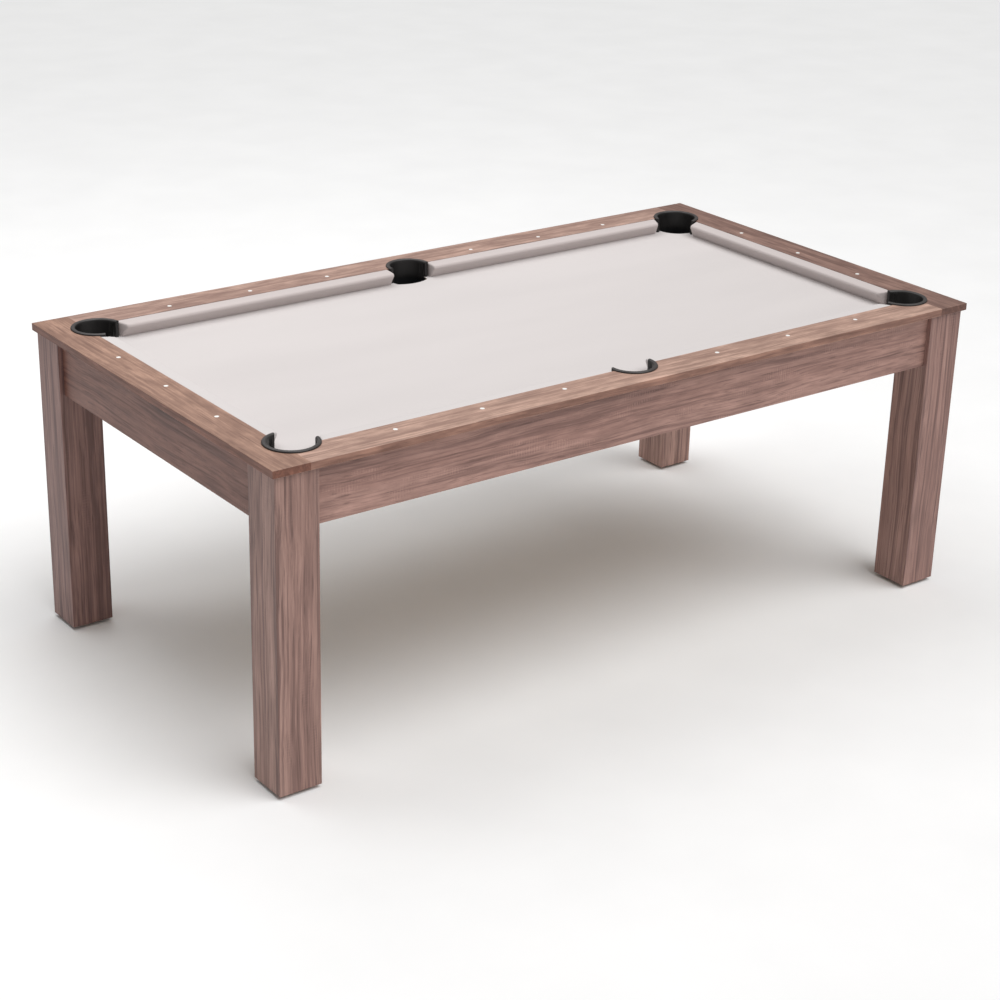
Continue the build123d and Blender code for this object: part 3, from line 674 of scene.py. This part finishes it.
class CushionPlace:
    """Where one cushion lies: along s between its ends, and u out from the wood."""

    def __init__(self, name, along, side_sign, low_end, high_end):
        self.name, self.along, self.side_sign = name, along, side_sign
        self.low_end, self.high_end = low_end, high_end

    def end(self, which, u):
        """Where an end is at a distance from the wood: ends lean back towards the nose."""
        at_wood, at_nose, sign = which
        return sign * (at_wood + (at_nose - at_wood) * (u + 1) / END_SPAN)

    def world(self, s, u, height):
        if self.along == "X":
            return (s * MM, self.side_sign * (INNER_Y - u * MM), BED_TOP + height * MM)
        return (self.side_sign * (INNER_X - u * MM), s * MM, BED_TOP + height * MM)


def cushion_places():
    """The four long cushions, named after their corners, and the two short ones."""
    places = []
    for name, (x_sign, y_sign) in CORNERS.items():
        near, far = (SIDE_AT_WOOD, SIDE_AT_NOSE, x_sign), (LONG_WOOD_END, LONG_NOSE_END, x_sign)
        ends = (near, far) if x_sign > 0 else (far, near)
        places.append(CushionPlace(name, "X", y_sign, *ends))
    for name, x_sign in (("left", -1), ("right", 1)):
        ends = ((SHORT_WOOD_END, SHORT_NOSE_END, -1), (SHORT_WOOD_END, SHORT_NOSE_END, 1))
        places.append(CushionPlace(name, "Y", x_sign, *ends))
    return places


# in mm: the gap over the bed, the ends' edge rounding, the rubber's depth in the cloth and the fold
# of cloth round each end; then the rubber's two back corners (u, height) and the cloth's back edge
ABOVE_BED = 0.06
CLOTH_ROUND, RUBBER_ROUND = 4.5, 3.5
RUBBER_INSET = 1.0
RUBBER_BACK = ((0.02, ABOVE_BED + RUBBER_INSET), (0.02, 18.0))
CAP_HEIGHTS = (24.0, 12.0, ABOVE_BED)
ALONG_STEPS = 48


def cushion_rows(place, inset, end_round):
    """Rows of points across the section, from one end cap round its edge and along to the other."""
    profile = cushion_profile(inset)
    floor_height = ABOVE_BED + inset

    def row(which, lean_in, back_off):
        points = []
        for point, normal in profile:
            spot = point - normal * back_off
            u, height = spot.x, max(spot.y, floor_height)
            base = place.end(which, u)
            middle_s = (place.end(place.low_end, u) + place.end(place.high_end, u)) / 2
            toward_middle = -1 if base > middle_s else 1
            points.append((base + toward_middle * (lean_in + inset), u, height))
        return points

    def rounded(which, turn):
        return row(which, end_round * (1 - math.sin(turn)), end_round * (1 - math.cos(turn)))

    turns = [math.radians(a) for a in (90, 72, 54, 36, 18, 0)]
    low = [rounded(place.low_end, turn) for turn in turns]
    high = [rounded(place.high_end, turn) for turn in reversed(turns)]
    middle = []
    for step in range(1, ALONG_STEPS):
        share = step / ALONG_STEPS
        middle.append([tuple(a + (b - a) * share for a, b in zip(p, q)) for p, q in zip(low[-1], high[0])])
    return low + middle + high


def cushion(place):
    """One cushion's cloth skin and the rubber strip inside it."""
    # the cloth: an open skin with its two end caps, thickened inwards
    rows = cushion_rows(place, 0.0, CLOTH_ROUND)
    bm = bmesh.new()
    grid = strip_faces(bm, [[place.world(*p) for p in row] for row in rows])
    for edge_row, source in ((grid[0], rows[0]), (grid[-1], rows[-1])):
        back = [bm.verts.new(place.world(source[0][0], 0.0, height)) for height in CAP_HEIGHTS]
        bm.faces.new(list(edge_row) + list(reversed(back)))
    material = CUSHION_CLOTH[place.along, place.side_sign]
    cloth = new_piece(f"cushion_cloth_strip_{place.name}", bm, material, 40)
    outward = Vector(place.world(0, 1, 0)) - Vector(place.world(0, 0, 0))
    facing = sum((p.normal.dot(outward) * p.area for p in cloth.data.polygons), 0.0)
    if facing < 0:
        cloth.data.flip_normals()
    thicken(cloth)
    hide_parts(f"cushion_cloth_{place.name}")

    # the rubber under it: a closed strip, one cloth inside the skin
    rows = cushion_rows(place, RUBBER_INSET, RUBBER_ROUND)
    bm = bmesh.new()
    (low_u, low_height), (high_u, high_height) = RUBBER_BACK
    loops = []
    for row in rows:
        behind = [(row[-1][0], low_u, low_height), (row[0][0], high_u, high_height)]
        loops.append([place.world(*point) for point in row + behind])
    grid = strip_faces(bm, loops, closed_columns=True)
    bm.faces.new(grid[0])
    bm.faces.new(list(reversed(grid[-1])))
    strip = new_piece(f"cushion_rubber_strip_{place.name}", bm, RUBBER, 40)
    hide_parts(f"cushion_rubber_{place.name}")


for cushion_place in cushion_places():
    cushion(cushion_place)


# ---- camera, floor and lights ----
def aim(location, azimuth, elevation, roll):
    """A camera matrix that looks from location, with azimuth 0 along +Y."""
    az, el, ro = (math.radians(a) for a in (azimuth, elevation, roll))
    back = Vector((math.sin(az) * math.cos(el), -math.cos(az) * math.cos(el), math.sin(el)))
    right = Vector((math.cos(az), math.sin(az), 0))
    up = back.cross(right)
    turned_right = math.cos(ro) * right + math.sin(ro) * up
    turned_up = -math.sin(ro) * right + math.cos(ro) * up
    turn = Matrix((turned_right, turned_up, back)).transposed()
    return Matrix.Translation(location) @ turn.to_4x4()


camera_data = bpy.data.cameras.new("camera")
camera_data.sensor_width = 36.0
camera_data.lens = 78.18
camera = bpy.data.objects.new("camera", camera_data)
camera.matrix_world = aim(Vector((-3.2295, -4.2291, 2.5612)), -37.133, 23.154, 1.516)
bpy.context.scene.collection.objects.link(camera)
bpy.context.scene.camera = camera

floor_bm = bmesh.new()
bmesh.ops.create_grid(floor_bm, x_segments=2, y_segments=2, size=20)
floor_mesh = bpy.data.meshes.new("floor")
floor_bm.to_mesh(floor_mesh)
floor_bm.free()
floor = bpy.data.objects.new("floor", floor_mesh)
bpy.context.scene.collection.objects.link(floor)
pale = Nodes("floor_pale")
speck = pale.noise(pale.place(), 3.0, 3.0, 0.5)
pale_tint = pale.mix(pale.range(speck.outputs[0], 0.3, 0.7), (0.91, 0.91, 0.91), (0.94, 0.94, 0.94))
pale.set(Base_Color=pale_tint, Roughness=0.9)
floor.data.materials.append(pale.material)


def area_light(name, location, target, size, power):
    data = bpy.data.lights.new(name, "AREA")
    data.shape = "RECTANGLE"
    data.size, data.size_y = size
    data.energy = power
    light = bpy.data.objects.new(name, data)
    light.location = location
    light.rotation_euler = (Vector(target) - Vector(location)).to_track_quat("-Z", "Y").to_euler()
    bpy.context.scene.collection.objects.link(light)


def sun_light(name, azimuth, elevation, strength, softness):
    """A soft distant light; azimuth 0 shines from the front (-Y) and 90 from the right (+X)."""
    data = bpy.data.lights.new(name, "SUN")
    data.energy = strength
    data.angle = math.radians(softness)
    light = bpy.data.objects.new(name, data)
    az, el = math.radians(azimuth), math.radians(elevation)
    towards = Vector((math.sin(az) * math.cos(el), -math.cos(az) * math.cos(el), math.sin(el)))
    light.rotation_euler = towards.to_track_quat("Z", "Y").to_euler()
    bpy.context.scene.collection.objects.link(light)


sun_light("key", 25, 60, 2.1, 50)
area_light("overhead", (-0.8, 1.6, 4.4), (-0.2, 0, 0.8), (4.5, 3.0), 90)
world = bpy.data.worlds.new("studio")
world.use_nodes = True
world.node_tree.nodes["Background"].inputs[0].default_value = (1.0, 0.995, 0.985, 1)
world.node_tree.nodes["Background"].inputs[1].default_value = 0.30
bpy.context.scene.world = world
bpy.context.scene.view_settings.view_transform = "Standard"
